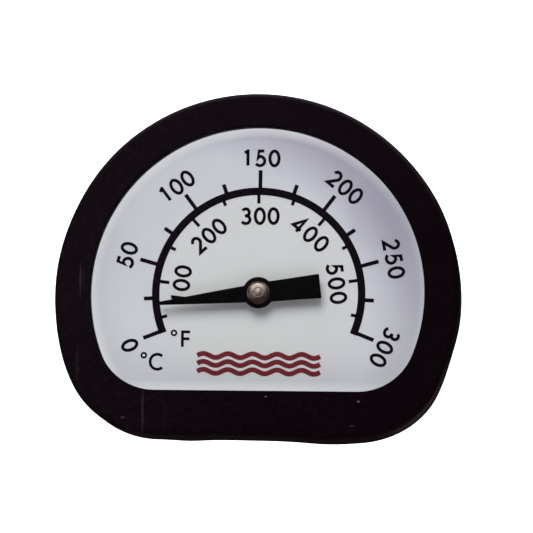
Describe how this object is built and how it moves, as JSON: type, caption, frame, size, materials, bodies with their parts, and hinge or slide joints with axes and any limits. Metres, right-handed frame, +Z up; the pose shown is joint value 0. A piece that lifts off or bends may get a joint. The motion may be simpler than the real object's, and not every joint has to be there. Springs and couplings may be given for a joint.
{
  "type": "dial oven thermometer",
  "caption": "Round-topped dial thermometer for an oven lid: black D-shaped frame, white dial under glass, and a rear stem with a threaded bush and a wing nut.",
  "frame": {"origin": "on the stem's axis, in the plane where the seal washer meets the lid", "axes": "+Y along the stem, away from the reader and into the oven; +Z up, towards the middle of the scale; +X to the reader's right"},
  "size_m": [0.061, 0.0626, 0.0517],
  "materials": {
    "black_silicone": "matte black moulded silicone with a faint purple cast",
    "grey_silicone": "matte grey heat-proof silicone",
    "black_plastic": "satin black",
    "stainless": "brushed stainless steel",
    "zinc_plate": "zinc-plated steel, slightly mottled",
    "brass": "turned brass",
    "boss_metal": "turned metal with concentric tool marks",
    "bimetal": "rolled strip, slightly straw-coloured",
    "dial_white": "satin white enamel with black print",
    "dial_ink": "black screen print on the dial",
    "red_ink": "dark red screen print on the dial",
    "pointer_black": "satin black paint",
    "white_ptfe": "smooth white",
    "window_glass": "clear polished glass"
  },
  "bodies": {
    "housing": {"frame_boot": "black_silicone", "case_cup": "stainless", "bezel_ring": "stainless", "lens": "window_glass", "lens_gasket": "black_silicone", "dial_spacer": "black_plastic", "dial_plate": "dial_white", "case_washer": "stainless", "case_nut": "zinc_plate", "lid_seal": "grey_silicone", "threaded_bush": "stainless", "stem_tube": "stainless", "stem_tip": "stainless", "front_bearing": "brass", "guide_bearing": "brass", "bimetal_coil": "bimetal", "coil_anchor": "brass"},
    "pointer_assembly": {"pointer": "pointer_black", "pointer_boss": "boss_metal", "spindle": "stainless", "spindle_clip": "stainless", "thrust_washer": "white_ptfe", "coil_collet": "brass"},
    "washers": {"clamp_washer": "zinc_plate", "spring_washer": "zinc_plate"},
    "nut": {"wing_nut": "zinc_plate"}
  },
  "joints": [
    {"name": "pointer_turn", "type": "hinge", "parent": "housing", "child": "pointer_assembly", "pos_m": [0, 0, 0], "axis": [0, 1, 0], "range_deg": [-14.88, 208.32], "stiffness_Nm_per_rad": 0.0003, "deforming": ["bimetal_coil"]},
    {"name": "nut_travel", "type": "slide", "parent": "housing", "child": "washers", "axis": [0, 1, 0], "range_m": [-0.00125, 0.00375]},
    {"name": "nut_turn", "type": "hinge", "parent": "washers", "child": "nut", "pos_m": [0, 0, 0], "axis": [0, 1, 0], "range_deg": [-360, 1080]}
  ],
  "couplings": [
    {"joint": "nut_travel", "follows": "nut_turn", "m_per_rad": 0.00019894}
  ]
}
